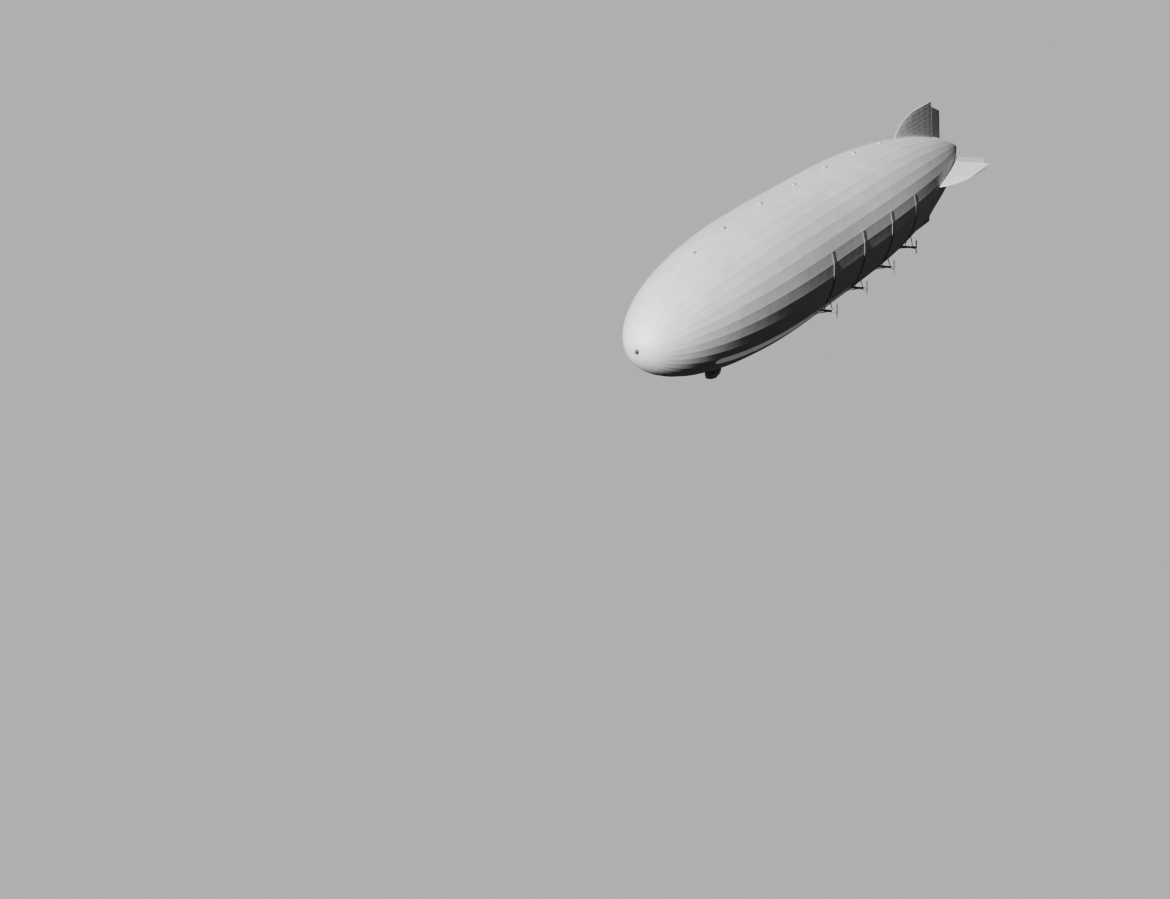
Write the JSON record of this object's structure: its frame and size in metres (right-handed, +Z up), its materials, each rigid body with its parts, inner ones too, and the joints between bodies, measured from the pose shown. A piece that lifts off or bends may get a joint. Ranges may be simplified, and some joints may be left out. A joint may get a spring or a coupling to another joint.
{
  "type": "scale model of a rigid airship",
  "caption": "Rigid airship model at 1:10: faceted fabric hull, cruciform fins with rudders and elevators, control car, and swivelling propellers on outriggers.",
  "frame": {"origin": "on the hull's axis at the centre of lift, 10.6 m aft of the nose tip", "axes": "+X forward along the hull, +Y to port, +Z up"},
  "size_m": [24.03, 4.58, 4.58],
  "materials": {
    "hull_fabric": "silver doped cotton cover, satin",
    "fin_fabric": "silver doped cotton cover, satin",
    "aluminium_cap": "brushed sheet",
    "dark_metal": "dark grey paint, satin",
    "outrigger_metal": "grey paint, satin",
    "condenser_metal": "ribbed sheet, weathered",
    "propeller_wood": "varnished",
    "engine_iron": "plain",
    "car_metal": "grey paint, satin",
    "car_glass": "clear"
  },
  "bodies": {
    "hull": {"envelope": "hull_fabric", "nose_cap": "aluminium_cap", "mooring_spindle": "dark_metal", "upper_fin": "fin_fabric", "port_fin": "fin_fabric", "lower_fin": "fin_fabric", "starboard_fin": "fin_fabric", "engine_port_1": "engine_iron", "outrigger_port_1": "outrigger_metal", "condenser_port_1": "condenser_metal", "engine_port_2": "engine_iron", "outrigger_port_2": "outrigger_metal", "condenser_port_2": "condenser_metal", "engine_port_3": "engine_iron", "outrigger_port_3": "outrigger_metal", "condenser_port_3": "condenser_metal", "engine_port_4": "engine_iron", "outrigger_port_4": "outrigger_metal", "condenser_port_4": "condenser_metal", "engine_starboard_1": "engine_iron", "outrigger_starboard_1": "outrigger_metal", "condenser_starboard_1": "condenser_metal", "engine_starboard_2": "engine_iron", "outrigger_starboard_2": "outrigger_metal", "condenser_starboard_2": "condenser_metal", "engine_starboard_3": "engine_iron", "outrigger_starboard_3": "outrigger_metal", "condenser_starboard_3": "condenser_metal", "engine_starboard_4": "engine_iron", "outrigger_starboard_4": "outrigger_metal", "condenser_starboard_4": "condenser_metal", "control_car_floor": "car_metal", "control_car_nose": "car_metal", "control_car_port_side": "car_metal", "control_car_starboard_side": "car_metal", "control_car_tail": "car_metal", "control_car_nose_glazing": "car_glass", "control_car_port_glazing": "car_glass", "control_car_starboard_glazing": "car_glass"},
    "upper_rudder": {"upper_rudder": "fin_fabric"},
    "port_elevator": {"port_elevator": "fin_fabric"},
    "lower_rudder": {"lower_rudder": "fin_fabric"},
    "starboard_elevator": {"starboard_elevator": "fin_fabric"},
    "gearbox_port_1": {"gearbox_port_1": "dark_metal"},
    "propeller_port_1": {"propeller_port_1": "propeller_wood"},
    "gearbox_port_2": {"gearbox_port_2": "dark_metal"},
    "propeller_port_2": {"propeller_port_2": "propeller_wood"},
    "gearbox_port_3": {"gearbox_port_3": "dark_metal"},
    "propeller_port_3": {"propeller_port_3": "propeller_wood"},
    "gearbox_port_4": {"gearbox_port_4": "dark_metal"},
    "propeller_port_4": {"propeller_port_4": "propeller_wood"},
    "gearbox_starboard_1": {"gearbox_starboard_1": "dark_metal"},
    "propeller_starboard_1": {"propeller_starboard_1": "propeller_wood"},
    "gearbox_starboard_2": {"gearbox_starboard_2": "dark_metal"},
    "propeller_starboard_2": {"propeller_starboard_2": "propeller_wood"},
    "gearbox_starboard_3": {"gearbox_starboard_3": "dark_metal"},
    "propeller_starboard_3": {"propeller_starboard_3": "propeller_wood"},
    "gearbox_starboard_4": {"gearbox_starboard_4": "dark_metal"},
    "propeller_starboard_4": {"propeller_starboard_4": "propeller_wood"},
    "control_car_door": {"control_car_door": "car_metal"}
  },
  "joints": [
    {"name": "upper_rudder_hinge", "type": "hinge", "parent": "hull", "child": "upper_rudder", "pos_m": [-10.46166, 0, 0], "axis": [0, 0, 1], "range_deg": [-20, 20]},
    {"name": "port_elevator_hinge", "type": "hinge", "parent": "hull", "child": "port_elevator", "pos_m": [-10.46166, 0, 0], "axis": [0, 1, 0], "range_deg": [-20, 20]},
    {"name": "lower_rudder_hinge", "type": "hinge", "parent": "hull", "child": "lower_rudder", "pos_m": [-10.46166, 0, 0], "axis": [0, 0, 1], "range_deg": [-20, 20]},
    {"name": "starboard_elevator_hinge", "type": "hinge", "parent": "hull", "child": "starboard_elevator", "pos_m": [-10.46166, 0, 0], "axis": [0, 1, 0], "range_deg": [-20, 20]},
    {"name": "gearbox_port_1_tilt", "type": "hinge", "parent": "hull", "child": "gearbox_port_1", "pos_m": [2.85, 2.0176, -1.32], "axis": [0, -1, 0], "range_deg": [0, 90]},
    {"name": "propeller_port_1_spin", "type": "hinge", "parent": "gearbox_port_1", "child": "propeller_port_1", "pos_m": [2.762, 2.0176, -1.32], "axis": [1, 0, 0], "continuous": true},
    {"name": "gearbox_port_2_tilt", "type": "hinge", "parent": "hull", "child": "gearbox_port_2", "pos_m": [0.6, 2.02165, -1.32], "axis": [0, -1, 0], "range_deg": [0, 90]},
    {"name": "propeller_port_2_spin", "type": "hinge", "parent": "gearbox_port_2", "child": "propeller_port_2", "pos_m": [0.512, 2.02165, -1.32], "axis": [1, 0, 0], "continuous": true},
    {"name": "gearbox_port_3_tilt", "type": "hinge", "parent": "hull", "child": "gearbox_port_3", "pos_m": [-1.65, 2.01167, -1.32], "axis": [0, -1, 0], "range_deg": [0, 90]},
    {"name": "propeller_port_3_spin", "type": "hinge", "parent": "gearbox_port_3", "child": "propeller_port_3", "pos_m": [-1.738, 2.01167, -1.32], "axis": [1, 0, 0], "continuous": true},
    {"name": "gearbox_port_4_tilt", "type": "hinge", "parent": "hull", "child": "gearbox_port_4", "pos_m": [-3.9, 1.90602, -1.32], "axis": [0, -1, 0], "range_deg": [0, 90]},
    {"name": "propeller_port_4_spin", "type": "hinge", "parent": "gearbox_port_4", "child": "propeller_port_4", "pos_m": [-3.988, 1.90602, -1.32], "axis": [1, 0, 0], "continuous": true},
    {"name": "gearbox_starboard_1_tilt", "type": "hinge", "parent": "hull", "child": "gearbox_starboard_1", "pos_m": [2.85, -2.0176, -1.32], "axis": [0, -1, 0], "range_deg": [0, 90]},
    {"name": "propeller_starboard_1_spin", "type": "hinge", "parent": "gearbox_starboard_1", "child": "propeller_starboard_1", "pos_m": [2.762, -2.0176, -1.32], "axis": [1, 0, 0], "continuous": true},
    {"name": "gearbox_starboard_2_tilt", "type": "hinge", "parent": "hull", "child": "gearbox_starboard_2", "pos_m": [0.6, -2.02165, -1.32], "axis": [0, -1, 0], "range_deg": [0, 90]},
    {"name": "propeller_starboard_2_spin", "type": "hinge", "parent": "gearbox_starboard_2", "child": "propeller_starboard_2", "pos_m": [0.512, -2.02165, -1.32], "axis": [1, 0, 0], "continuous": true},
    {"name": "gearbox_starboard_3_tilt", "type": "hinge", "parent": "hull", "child": "gearbox_starboard_3", "pos_m": [-1.65, -2.01167, -1.32], "axis": [0, -1, 0], "range_deg": [0, 90]},
    {"name": "propeller_starboard_3_spin", "type": "hinge", "parent": "gearbox_starboard_3", "child": "propeller_starboard_3", "pos_m": [-1.738, -2.01167, -1.32], "axis": [1, 0, 0], "continuous": true},
    {"name": "gearbox_starboard_4_tilt", "type": "hinge", "parent": "hull", "child": "gearbox_starboard_4", "pos_m": [-3.9, -1.90602, -1.32], "axis": [0, -1, 0], "range_deg": [0, 90]},
    {"name": "propeller_starboard_4_spin", "type": "hinge", "parent": "gearbox_starboard_4", "child": "propeller_starboard_4", "pos_m": [-3.988, -1.90602, -1.32], "axis": [1, 0, 0], "continuous": true},
    {"name": "control_car_door_hinge", "type": "hinge", "parent": "hull", "child": "control_car_door", "pos_m": [6.815, 0.18, -1.93], "axis": [0, 0, -1], "range_deg": [0, 95]}
  ],
  "couplings": [
    {"joint": "upper_rudder_hinge", "follows": "lower_rudder_hinge", "ratio": 1},
    {"joint": "starboard_elevator_hinge", "follows": "port_elevator_hinge", "ratio": 1}
  ]
}
